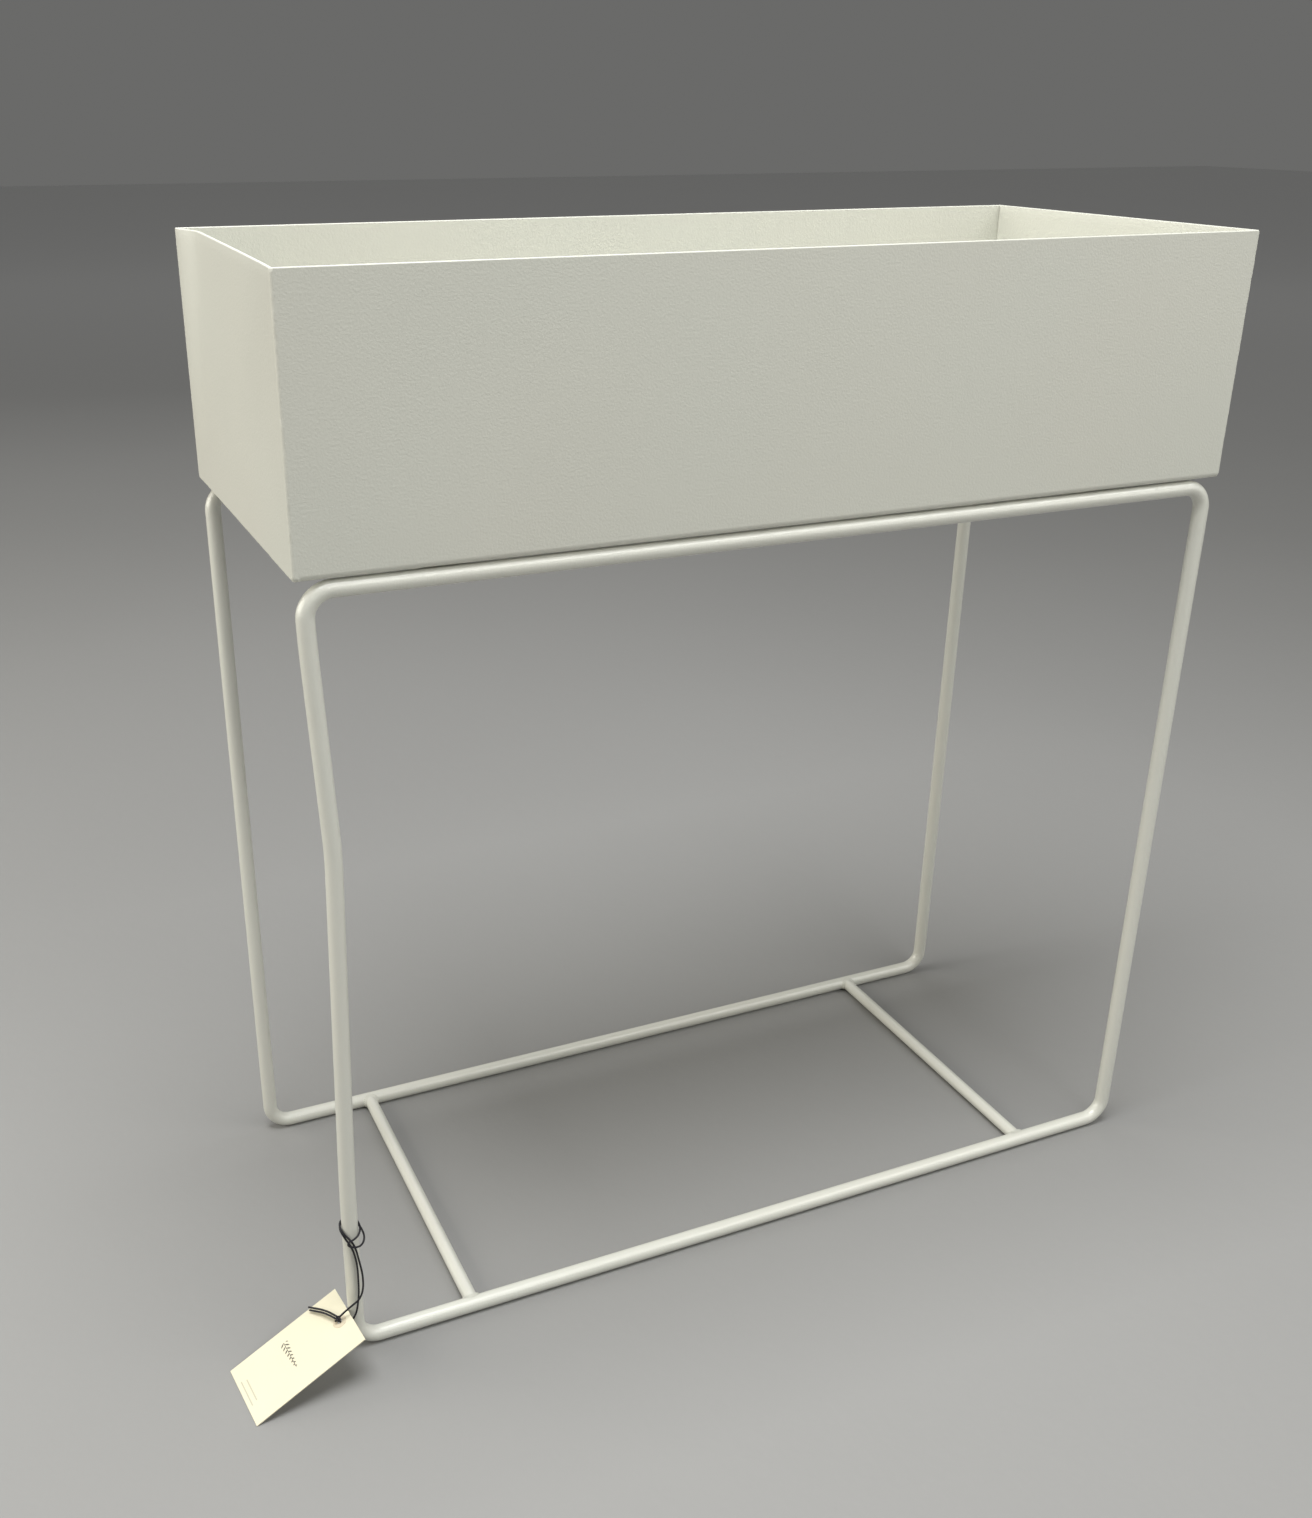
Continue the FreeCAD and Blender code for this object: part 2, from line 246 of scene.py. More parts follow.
def cordTube(route, s):
    # A ply tube along the spline through the route, closed at both ends in a short dome
    points, along = splinePoints(route, s["cordStep"])
    normals, binormals = pathFrames(points)
    fromEnd = np.minimum(along, along[-1] - along) / (s["cordDiameter"] / 2)
    dome = np.sqrt(np.clip(1 - (1 - np.clip(fromEnd + s["cordEndOpen"], 0, 1)) ** 2, 0, 1))
    dome[[0, -1]] = 0
    turns = along / s["layLength"]
    return plyTube(points, normals, binormals, turns, dome, s), layMap(turns, s), points


def cardMatrix(s):
    lift = s["thickness"] / 2 * math.cos(math.radians(s["tilt"]))
    return (Matrix.Translation(Vector(s["foot"]) + Vector((0, 0, lift)))
            @ Matrix.Rotation(math.radians(s["turn"] - 90), 4, "Z")
            @ Matrix.Rotation(math.radians(s["tilt"]), 4, "X"))


def onCard(local, s):
    # Moves points from the card's own frame to their place
    place = np.array(cardMatrix(s))
    return local @ place[:3, :3].T + place[:3, 3]


def makeCord(s):
    tube, lay, line = cordTube(cordRoute, s)
    cord = makePiece("tagCord", [tube], "hang_tag", "cord", ["tag_cord"], [lay], 60)
    tails = []
    for name, route, node in (("tagTailLong", longTailRoute, "tag_tail_long"),
                              ("tagTailShort", shortTailRoute, "tag_tail_short")):
        tube, lay, _ = cordTube(route, s)
        tails.append(makePiece(name, [tube], "hang_tag", "cord", [node], [lay], 60))
    return cord, tails, line


def makeKnot(s):
    # A trefoil: x = sin t + 2 sin 2t, y = cos t - 2 cos 2t, z = -depth sin 3t, shrunk into the knot's ball.
    # Its normals are the outward direction, less the part of it that lies along the cord.
    t = np.linspace(0, 2 * np.pi, 241)
    depth = s["knotDepth"]
    points = np.column_stack([np.sin(t) + 2 * np.sin(2 * t), np.cos(t) - 2 * np.cos(2 * t),
                              -depth * np.sin(3 * t)])
    points = points * (s["knotRadius"] - s["cordDiameter"] / 2) / 3
    tangents = np.column_stack([np.cos(t) + 4 * np.cos(2 * t), -np.sin(t) + 4 * np.sin(2 * t),
                                -3 * depth * np.cos(3 * t)])
    tangents /= np.linalg.norm(tangents, axis=1)[:, None]
    outward = points / np.linalg.norm(points, axis=1)[:, None]
    normals = outward - tangents * np.sum(outward * tangents, axis=1)[:, None]
    normals /= np.linalg.norm(normals, axis=1)[:, None]
    turns = s["knotTurns"] * t / (2 * np.pi)
    tube = plyTube(points, normals, np.cross(tangents, normals), turns, np.ones_like(t), s)
    tube += (0, s["length"] - s["holeInset"], s["knotLift"])
    lay = layMap(t * s["knotLay"], s)
    return makePiece("tagKnot", [onCard(tube, s)], "hang_tag", "cord", ["tag_knot"], [lay], 60)


def roundSection(inner, outer, bottom, top, edge, steps=5):
    # Closed outline in (reach, height): a rectangle whose four corners are quarter circles of radius edge
    quarter = np.linspace(0, np.pi / 2, steps)
    centres = ((outer - edge, bottom + edge, -np.pi / 2), (outer - edge, top - edge, 0),
               (inner + edge, top - edge, np.pi / 2), (inner + edge, bottom + edge, np.pi))
    outline = [np.column_stack([x + edge * np.cos(a + quarter), z + edge * np.sin(a + quarter)])
               for x, z, a in centres]
    outline = np.concatenate(outline)
    return np.vstack([outline, outline[:1]])


def makePatch(s):
    # The patch's section is carried round the hole, a little ragged
    top = s["thickness"] / 2
    section = roundSection(s["holeRadius"], s["patchRadius"], top + s["patchLift"],
                           top + s["patchThickness"], s["patchEdge"])
    turn = np.linspace(0, 2 * np.pi, 73)
    ragged = 1 + s["patchRagged"] * wave(turn / (2 * np.pi), s["patchSpans"], 5)
    ring = np.stack([section[None, :, 0] * np.cos(turn)[:, None] * ragged[:, None],
                     section[None, :, 0] * np.sin(turn)[:, None] * ragged[:, None]
                     + s["length"] - s["holeInset"],
                     np.broadcast_to(section[None, :, 1], (len(turn), len(section)))], -1)
    return makePiece("tagPatch", [onCard(ring, s)], "hang_tag", "patch_paper", ["tag_patch"],
                     [ring[..., :2].copy()], 50)


cord, tails, cordLine = makeCord(tag)
tagPieces = ["tag_card", makeKnot(tag), makePatch(tag), *tails]
print("hang tag and its cord made")


# Frame loops
loops = {"bend": 0.015, "bendFlat": 0.03, "step": 0.006, "columns": 40, "bendRows": 20,
         "bowPeak": 0.0064, "bowFoot": 0.100, "bowKink": 0.345, "bowTop": 0.478, "bowSoft": 0.05}


def legBow(z, s):
    # Two straight lines that meet at the kink, their lower one taken with a soft minimum and kept above zero
    rise = (z - s["bowFoot"]) / (s["bowKink"] - s["bowFoot"])
    fall = (s["bowTop"] - z) / (s["bowTop"] - s["bowKink"])
    k = s["bowSoft"]
    lower = -k * np.logaddexp(-rise / k, -fall / k)
    return s["bowPeak"] * k * np.logaddexp(0, (lower - k) / k)


def makeLoop(name, node, bowed, s):
    # A circle carried round a rounded rectangle at constant y. A row of the path is a middle and the
    # angle of its outward normal. In the bends the circle's outside is flattened by bendFlat, and the
    # bow moves the left leg's straight rows, whose normals point left.
    lo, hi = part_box(node)
    radius, y = (hi.y - lo.y) / 2, (hi.y + lo.y) / 2
    flatX = (hi.x - lo.x) / 2 - radius - s["bend"]
    lowZ, highZ = lo.z + radius + s["bend"], hi.z - radius - s["bend"]
    quarter = np.linspace(0, np.pi / 2, s["bendRows"])
    path = []
    for x, z, start in ((flatX, lowZ, -90), (flatX, highZ, 0), (-flatX, highZ, 90), (-flatX, lowZ, 180)):
        angle = math.radians(start) + quarter
        path.append(np.column_stack([x + s["bend"] * np.cos(angle), z + s["bend"] * np.sin(angle), angle]))
    rows = []
    for k, arc in enumerate(path):
        start, end = arc[-1], path[(k + 1) % 4][0]
        count = int(math.dist(start[:2], end[:2]) / s["step"])
        share = np.linspace(0, 1, count, endpoint=False)[1:, None]
        middles = start[:2] + share * (end[:2] - start[:2])
        rows += [arc, np.column_stack([middles, np.full(count - 1, start[2])])]
    rows = np.concatenate(rows + [path[0][:1]])
    x, z, angle = rows.T
    if bowed:
        x = x + np.where(x < 0, legBow(z, s), 0) * (np.cos(angle) < -0.99)
    around = np.linspace(0, 2 * np.pi, s["columns"] + 1)
    outside = np.maximum(np.cos(around), 0) ** 2
    ringRadius = radius * (1 - s["bendFlat"] * np.sin(2 * angle)[:, None] ** 2 * outside[None, :])
    reach = ringRadius * np.cos(around)
    grid = np.stack([x[:, None] + reach * np.cos(angle)[:, None], y + ringRadius * np.sin(around),
                     z[:, None] + reach * np.sin(angle)[:, None]], -1)
    return makePiece(name, [grid], "planter", "coated_bar", [node])


makeLoop("frontLoop", "front_loop", True, loops)
makeLoop("rearLoop", "rear_loop", False, loops)
print("frame loops made")


# Welds of the frame
beads = {"leg": 0.0017, "crown": 0.72, "sink": 0.0004, "floor": 0.0001,
         "ripple": 0.10, "pitch": 0.0011, "crescent": 2.2,
         "rodWander": 0.1, "rodSpans": (1.0, 0.5, 0.25),
         "crossWander": 0.12, "crossSpans": (0.011, 0.006), "crossLeast": 0.05, "crossFade": 9}


def beadGrid(corner, alongFirst, alongSecond, size, travel, s):
    # A weld between two surfaces that meet along a corner line: at each station a curve from a toe on the
    # first surface to a toe on the second, (1-t)^2 a + 2t(1-t) c + t^2 b, with its crown c rippled along
    # the seam in crescents, and closed behind through a line sunk below the corner.
    t = np.linspace(0, 1, 9)
    bow = np.sin(np.pi * t)
    ripple = 1 + s["ripple"] * np.sin(2 * np.pi * travel[:, None] / s["pitch"] + s["crescent"] * bow)
    first = corner + alongFirst * size[:, None]
    second = corner + alongSecond * size[:, None]
    crown = corner + (alongFirst + alongSecond) * (s["crown"] * size)[:, None]
    t = t[None, :, None]
    curve = (1 - t) ** 2 * first[:, None] + 2 * t * (1 - t) * crown[:, None] + t ** 2 * second[:, None]
    curve = corner[:, None] + (curve - corner[:, None]) * ripple[..., None]
    behind = corner - (alongFirst + alongSecond) * s["sink"]
    grid = np.concatenate([behind[:, None], curve, behind[:, None]], axis=1)
    grid[..., 2] = np.maximum(grid[..., 2], s["floor"])
    return grid


def makeRodWelds(side, s):
    # The rod's circle, angle a, meets the bar's cylinder where y = sqrt(R^2 - (r sin a)^2) off the bar's axis
    rodLo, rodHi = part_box(f"lower_rod_{side}")
    x, radius = (rodLo.x + rodHi.x) / 2, (rodHi.x - rodLo.x) / 2
    z = (rodLo.z + rodHi.z) / 2
    a = np.linspace(0, 2 * np.pi, 121)
    grids = []
    for node, inward in (("front_loop", 1), ("rear_loop", -1)):
        lo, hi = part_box(node)
        barRadius, barY = (hi.y - lo.y) / 2, (hi.y + lo.y) / 2
        rise = radius * np.sin(a)
        off = np.sqrt(barRadius ** 2 - rise ** 2)
        corner = np.column_stack([x + radius * np.cos(a), barY + inward * off, z + rise])
        normal = np.column_stack([np.zeros_like(a), inward * off, rise]) / barRadius
        radial = np.column_stack([np.cos(a), np.zeros_like(a), np.sin(a)])
        onBar = radial - normal * np.sum(radial * normal, axis=1)[:, None]
        onBar /= np.linalg.norm(onBar, axis=1)[:, None]
        onRod = np.broadcast_to((0.0, inward, 0.0), corner.shape)
        uneven = wave(a / (2 * np.pi), s["rodSpans"], 11 + inward + int(x > 0))
        size = s["leg"] * (1 + s["rodWander"] * uneven)
        grid = beadGrid(corner, onRod, onBar, size, a * radius, s)
        grid[-1] = grid[0]
        grids.append(grid)
    return makePiece(f"lowerRodWelds_{side}", grids, "planter", "coated_bead",
                     [f"lower_rod_welds_{side}"], None, 60)


def makeCrossWelds(side, s):
    # Straight seams along the flat bar's upper and lower faces; each dies out over its last millimetres
    flatLo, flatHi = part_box(f"cross_bar_{side}")
    travel = np.linspace(flatLo.x, flatHi.x, 97)
    share = 2 * (travel - flatLo.x) / (flatHi.x - flatLo.x) - 1
    least = s["crossLeast"]
    fade = least + (1 - least) * np.sqrt(np.clip(1 - np.abs(share) ** s["crossFade"], 0, 1))
    grids = []
    for node, inward in (("front_loop", 1), ("rear_loop", -1)):
        lo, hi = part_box(node)
        barRadius, barY, barZ = (hi.y - lo.y) / 2, (hi.y + lo.y) / 2, hi.z - (hi.y - lo.y) / 2
        for z, up in ((flatHi.z, 1), (flatLo.z, -1)):
            off = math.sqrt(barRadius ** 2 - (z - barZ) ** 2)
            corner = np.column_stack([travel, np.full_like(travel, barY + inward * off),
                                      np.full_like(travel, z)])
            normal = np.array((0, inward * off, z - barZ)) / barRadius
            onBar = np.array((0, 0, up)) - normal * normal[2] * up
            onBar = np.broadcast_to(onBar / np.linalg.norm(onBar), corner.shape)
            onFlat = np.broadcast_to((0.0, inward, 0.0), corner.shape)
            uneven = wave(travel, s["crossSpans"], 21 + inward + up)
            size = s["leg"] * fade * (1 + s["crossWander"] * uneven)
            grids.append(capped(beadGrid(corner, onFlat, onBar, size, travel, s)))
    return makePiece(f"crossBarWelds_{side}", grids, "planter", "coated_bead",
                     [f"cross_bar_welds_{side}"], None, 60)


for side in ("left", "right"):
    makeRodWelds(side, beads)
    makeCrossWelds(side, beads)
print("frame welds made")


# Box ends: flat panels between the wrap's walls, and the ground seam round their three lower edges
ends = {"rimRound": 0.0006, "cornerRound": 0.0015, "groove": 0.0009, "grooveWidth": 0.0010,
        "rows": 26, "columns": 64, "columnMargin": 0.002,
        "dish": {"left": 0.0072, "right": 0.0}, "dishPeak": 0.87, "dishRise": 0.8, "dishFade": 1.3,
        "dishBlend": 0.02}
seams = {"round": {"left": (0.0016, 0.0018), "right": (0.0013, 0.0015)}, "roundLimits": (0.0006, 0.00195),
         "foldRound": {"left": (0.0027, 0.0034), "right": (0.0030, 0.0034)},
         "wander": 0.00022, "wanderSpans": (0.041, 0.017, 0.0075),
         "flatten": 0.35, "flattenSpans": (0.067, 0.023, 0.011),
         "step": 0.0015, "rimRows": 5, "topRound": 0.0019, "topDress": 0.9, "topSpread": 1.5,
         "spot": (-0.2975, -0.1225, 0.5027), "spotSize": (0.0027, 0.0027, 0.0025), "spotDress": 0.05}


def panelDish(y, z, depth, lo, hi, s):
    # Inward push of the free upper edge: a slow rise from the front to the peak, then half a cosine back
    # to nothing at the rear edge, fading out downwards
    u = np.clip((y - lo.y) / (hi.y - lo.y), 0, 1)
    peak = s["dishPeak"]
    slow = np.clip(u / peak, 0, 1) ** s["dishRise"]
    back = 0.5 * (1 + np.cos(np.pi * np.clip((u - peak) / (1 - peak), 0, 1)))
    soft = 1 / (1 + np.exp(-(u - peak) / s["dishBlend"]))
    height = np.clip((z - lo.z) / (hi.z - lo.z), 0, 1) ** s["dishFade"]
    return depth * (slow * (1 - soft) + back * soft) * height


def makeEndPanel(side, s):
    # The sheet's section, up the outer face, over the rounded rim and down the inner face, carried along y.
    # The lower corners follow the wrap's inside radius, and the upright inner edges are relieved.
    lo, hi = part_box(f"{side}_end_panel")
    sheet, out = hi.x - lo.x, -1 if side == "left" else 1
    outer = lo.x if side == "left" else hi.x
    rim = s["rimRound"]
    arc = np.linspace(0, np.pi / 2, 6)
    up = np.linspace(lo.z, hi.z - rim, s["rows"])
    tuck, lift = rim * (1 - np.cos(arc)), hi.z - rim + rim * np.sin(arc)
    depth = np.concatenate([np.zeros_like(up), tuck, sheet - tuck[::-1], np.full_like(up, sheet), [0]])
    z = np.concatenate([up, lift, lift[::-1], up[::-1], [lo.z]])
    corner = s["cornerRound"]
    near = lo.y + np.append(corner * (1 - np.cos(np.linspace(0, np.pi / 2, 7))), s["grooveWidth"])
    between = np.linspace(lo.y + s["columnMargin"], hi.y - s["columnMargin"], s["columns"])
    y = np.unique(np.concatenate([near, -near, between]))
    inset = np.clip(np.abs(y) - (hi.y - corner), 0, corner)
    bottomRise = corner - np.sqrt(np.clip(corner ** 2 - inset ** 2, 0, None))
    relief = s["groove"] * np.clip((np.abs(y) - hi.y + s["grooveWidth"]) / s["grooveWidth"], 0, 1)
    height = z[None, :] + bottomRise[:, None] * (1 - (z - lo.z) / (hi.z - lo.z))[None, :]
    inward = depth[None, :] - relief[:, None] * (depth / sheet)[None, :]
    push = panelDish(y[:, None], height, s["dish"][side], lo, hi, s)
    x = outer - out * (inward + push)
    grid = np.stack([x, np.broadcast_to(y[:, None], x.shape), height], -1)
    return makePiece(f"{side}EndPanel", [capped(grid)], "planter", "coated_sheet", [f"{side}_end_panel"])


def seamOutline(halfY, bottom, top, frontRound, rearRound, step, nearRim):
    # Down the front upright, round the lower front corner, along the bottom, round the rear one and up.
    # The rows lie closer together over nearRim, below the rim.
    def upright(y, foot, down):
        z = np.unique(np.concatenate([np.linspace(foot, top - nearRim, int((top - foot) / step)),
                                      np.linspace(top - nearRim, top, 9)]))
        z = z[::-1] if down else z
        return np.column_stack([np.full_like(z, y), z])
    quarter = np.linspace(0, np.pi / 2, 12)[1:-1]
    frontArc = np.column_stack([-halfY + frontRound * (1 - np.cos(quarter)),
                                bottom + frontRound * (1 - np.sin(quarter))])
    rearArc = np.column_stack([halfY - rearRound * (1 - np.sin(quarter)),
                               bottom + rearRound * (1 - np.cos(quarter))])
    bottomY = np.linspace(-halfY + frontRound, halfY - rearRound, int(2 * halfY / step))
    return np.concatenate([upright(-halfY, bottom + frontRound, True), frontArc,
                           np.column_stack([bottomY, np.full_like(bottomY, bottom)]), rearArc,
                           upright(halfY, bottom + rearRound, False)])


def makeSeam(side, s, panel):
    # Between an inner and an outer U outline with the same number of points, a section from the wrap's
    # side to the end face, whose outer corner is rounded by a radius that wanders along the seam. The
    # corner is sin^p, 1 - cos^p, where p wanders above 1 and grinds the round flatter in places.
    lo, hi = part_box(f"{side}_end_weld")
    inLo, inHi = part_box(f"{side}_end_panel")
    out = -1 if side == "left" else 1
    face, butt = (lo.x, hi.x) if side == "left" else (hi.x, lo.x)
    front, rear = s["foldRound"][side]
    rimZ = hi.z - panel["rimRound"]
    outerLine = seamOutline(hi.y, lo.z, rimZ, front, rear, s["step"], s["topRound"])
    r = panel["cornerRound"]
    innerLine = seamOutline(inHi.y, inLo.z, rimZ, r, r, s["step"], s["topRound"])
    travelOut, travelIn = reachAlong(outerLine), reachAlong(innerLine)
    share = travelOut / travelOut[-1]
    inner = np.column_stack([np.interp(share, travelIn / travelIn[-1], innerLine[:, k]) for k in (0, 1)])
    hair = 1e-9
    onSide, onBottom = np.abs(outerLine[:, 0]) >= hi.y - hair, outerLine[:, 1] <= lo.z + hair
    inner[:, 0] = np.where(onSide, np.sign(outerLine[:, 0]) * inHi.y, inner[:, 0])
    inner[:, 1] = np.where(onBottom, inLo.z, inner[:, 1])
    upright = np.clip((rimZ - outerLine[:, 1]) / (rimZ - lo.z), 0, 1)
    small, large = s["round"][side]
    radius = small + (large - small) * upright + s["wander"] * wave(travelOut, s["wanderSpans"], 31 + out)
    radius = np.clip(radius, *s["roundLimits"])
    # The rim closes in over a few extra rows at both ends, each a step of a quarter circle
    arc = np.linspace(0, np.pi / 2, s["rimRows"] + 1)[1:]
    rim = panel["rimRound"]
    tuck = rim * (1 - np.cos(arc))
    lift = np.column_stack([np.zeros_like(arc), rim * np.sin(arc)])
    rowsOut, rowsIn = (np.concatenate([line[:1] + lift[::-1], line, line[-1:] + lift])
                       for line in (outerLine, inner))
    tucked = np.concatenate([tuck[::-1], np.zeros(len(outerLine)), tuck])
    radius = np.pad(radius, s["rimRows"], mode="edge")
    turn = np.linspace(0, np.pi / 2, 9)
    width = np.linalg.norm(rowsOut - rowsIn, axis=1)
    radius = np.minimum(radius, width - 2 * tucked)
    travel = np.linspace(0, travelOut[-1], len(width))
    power = 1 + s["flatten"] * (0.5 + 0.5 * wave(travel, s["flattenSpans"], 47 + out))
    # Section points: how far across from inner to outer, and how far in from the end face
    wall = np.full_like(width, abs(face - butt))
    across = np.column_stack([tucked, tucked]
                             + [width - tucked - radius + radius * np.sin(a) ** power for a in turn]
                             + [width - tucked, tucked])
    deep = np.column_stack([wall, tucked] + [tucked + radius * (1 - np.cos(a) ** power) for a in turn]
                           + [wall, wall])
    # The top outer corner is dressed to a round of its own, nothing at the panel and whole at the wrap
    near = np.clip((rowsOut[:, 1] - hi.z + s["topRound"]) / s["topRound"], 0, 1)
    dress = s["topDress"] * s["topRound"] * (1 - np.sqrt(np.clip(1 - near ** 2, 0, None)))
    outwards = np.clip(across / width[:, None], 0, 1) ** s["topSpread"]
    deep = np.minimum(deep + dress[:, None] * outwards, wall[:, None])
    way = (rowsOut - rowsIn) / width[:, None]
    flat = rowsIn[:, None] + way[:, None] * across[..., None]
    grid = np.stack([face - out * deep, flat[..., 0], flat[..., 1]], -1)
    grids = [capped(grid)]
    if side == "left":
        # A weld spot left proud on the front lower corner: an ellipsoid, dressed a little by hand
        polar, turn = np.meshgrid(np.linspace(0, np.pi, 19), np.linspace(0, 2 * np.pi, 33), indexing="ij")
        size = np.array(s["spotSize"]) * (1 + s["spotDress"] * np.sin(3 * turn + 2 * polar))[..., None]
        ball = np.stack([np.sin(polar) * np.cos(turn), np.sin(polar) * np.sin(turn), np.cos(polar)], -1)
        grids.append(np.array(s["spot"]) + size * ball)
    return makePiece(f"{side}EndWeld", grids, "planter", "coated_seam", [f"{side}_end_weld"])


for side in ("left", "right"):
    makeEndPanel(side, ends)
    makeSeam(side, seams, ends)
print("box ends made")


# Finishes. Groups put out heights, tones and masks; each material places them with its own values.
def makeGroup(name, inputs, outputs):
    group = bpy.data.node_groups.new(name, "ShaderNodeTree")
    for label, kind, value in inputs:
        socket = group.interface.new_socket(label, in_out="INPUT", socket_type=kind)
        socket.default_value = value
    for label, kind in outputs:
        group.interface.new_socket(label, in_out="OUTPUT", socket_type=kind)
    return group, group.nodes.new("NodeGroupInput"), group.nodes.new("NodeGroupOutput")


def addNode(tree, kind, links=(), **values):
    # links joins (input, socket) pairs; values set properties of the node
    node = tree.nodes.new(kind)
    for key, value in values.items():
        setattr(node, key, value)
    for key, source in links:
        if isinstance(source, bpy.types.NodeSocket):
            tree.links.new(source, node.inputs[key])
        else:
            node.inputs[key].default_value = source
    return node


def calc(tree, operation, first, second=None, clamp=False):
    inputs = [(0, first)] if second is None else [(0, first), (1, second)]
    return addNode(tree, "ShaderNodeMath", inputs, operation=operation, use_clamp=clamp).outputs[0]


def placeOn(tree, output="Object"):
    return addNode(tree, "ShaderNodeTexCoord").outputs[output]


def noiseOn(tree, place, size, detail, *more, **values):
    links = [("Vector", place), ("Scale", size), ("Detail", detail), *more]
    return addNode(tree, "ShaderNodeTexNoise", links, **values).outputs["Fac"]


def mixTones(tree, factor, first, second):
    links = [("Factor", factor), (6, first), (7, second)]  # sockets 6 and 7 are the two colours
    return addNode(tree, "ShaderNodeMix", links, data_type="RGBA").outputs[2]


def stretch(tree, value, fromRange, toRange=(0.0, 1.0), **values):
    links = [("Value", value), ("From Min", fromRange[0]), ("From Max", fromRange[1]),
             ("To Min", toRange[0]), ("To Max", toRange[1])]
    return addNode(tree, "ShaderNodeMapRange", links, **values).outputs[0]


peel = {"lumpDetail": 2.0, "lumpRoughness": 0.45, "fineDetail": 1.0, "fineRatio": 3.1, "fineShare": 0.3}


def coatGrainGroup(s):
    # Orange peel: soft lumps, and a share of finer ones on them
    group, start, end = makeGroup("coatGrain", [("Size", "NodeSocketFloat", 900.0)],
                                  [("Height", "NodeSocketFloat")])
    place, size = placeOn(group), start.outputs["Size"]
    lumps = noiseOn(group, place, size, s["lumpDetail"], ("Roughness", s["lumpRoughness"]))
    fine = noiseOn(group, place, calc(group, "MULTIPLY", size, s["fineRatio"]), s["fineDetail"])
    height = calc(group, "ADD", calc(group, "MULTIPLY", fine, s["fineShare"]), lumps)
    group.links.new(height, end.inputs["Height"])
    return group


drifting = {"slowDetail": 3.0, "warmthDetail": 1.0, "warmthSeed": 3.7, "warmth": (0.35, 0.65)}


def toneDriftGroup(s):
    # Colour that wanders slowly over the surface: one noise goes from tone to warm, and another makes it
    # lighter and darker, times 1 + depth (noise - 0.5)
    grey = (0.5, 0.5, 0.5, 1)
    group, start, end = makeGroup("toneDrift",
                                  [("Tone", "NodeSocketColor", grey), ("Warm", "NodeSocketColor", grey),
                                   ("Size", "NodeSocketFloat", 7.0), ("Depth", "NodeSocketFloat", 0.05)],
                                  [("Color", "NodeSocketColor"), ("Drift", "NodeSocketFloat")])
    place, size = placeOn(group), start.outputs["Size"]
    slow = noiseOn(group, place, size, s["slowDetail"])
    other = noiseOn(group, place, size, s["warmthDetail"], ("W", s["warmthSeed"]), noise_dimensions="4D")
    warmth = stretch(group, other, s["warmth"])
    mixed = mixTones(group, warmth, start.outputs["Tone"], start.outputs["Warm"])
    swing = calc(group, "MULTIPLY", calc(group, "SUBTRACT", slow, 0.5), start.outputs["Depth"])
    scaled = addNode(group, "ShaderNodeVectorMath", [(0, mixed), ("Scale", calc(group, "ADD", swing, 1.0))],
                     operation="SCALE")
    group.links.new(scaled.outputs[0], end.inputs["Color"])
    group.links.new(slow, end.inputs["Drift"])
    return group


fibres = {"detail": 2.0,
          # each lay: its turn, and how far the noise is drawn out along each axis
          "paperFibre": ("Object", ((0.4, (1, 0.16, 0.4)), (1.9, (1, 0.2, 0.4)))),
          "plyFibre": ("UV", ((0.8, (1, 0.15, 1)),)),
          "turnedMarks": ("Object", ((0.0, (0.12, 0.12, 1)),))}


def fibreGroup(name, s):
    # Noise drawn out into fibres, once for each lay, added up: short ones lying two ways on paper, ones
    # that lean with the twist of the cord's plies, and level rings as a lathe leaves them
    output, lays = s[name]
    group, start, end = makeGroup(name, [("Size", "NodeSocketFloat", 1500.0)],
                                  [("Height", "NodeSocketFloat")])
    place, total = placeOn(group, output), None
    for turn, drawn in lays:
        lay = addNode(group, "ShaderNodeMapping",
                      [("Vector", place), ("Rotation", (0, 0, turn)), ("Scale", drawn)])
        noise = noiseOn(group, lay.outputs[0], start.outputs["Size"], s["detail"])
        total = noise if total is None else calc(group, "ADD", total, noise)
    group.links.new(total, end.inputs["Height"])
    return group


printed = {"middle": (-0.0040, 0.0355), "length": 0.022, "pitch": 0.0032, "lean": 0.80, "leaf": 0.0044,
           "leafHalf": 0.00050, "leafShare": (0.62, 0.75), "stemHalf": 0.00018, "soft": 0.00008,
           "bars": ((-0.0010, 0.0065, 0.0184), (-0.0010, 0.0030, 0.0212)), "barHalf": 0.0004, "barInk": 0.35}


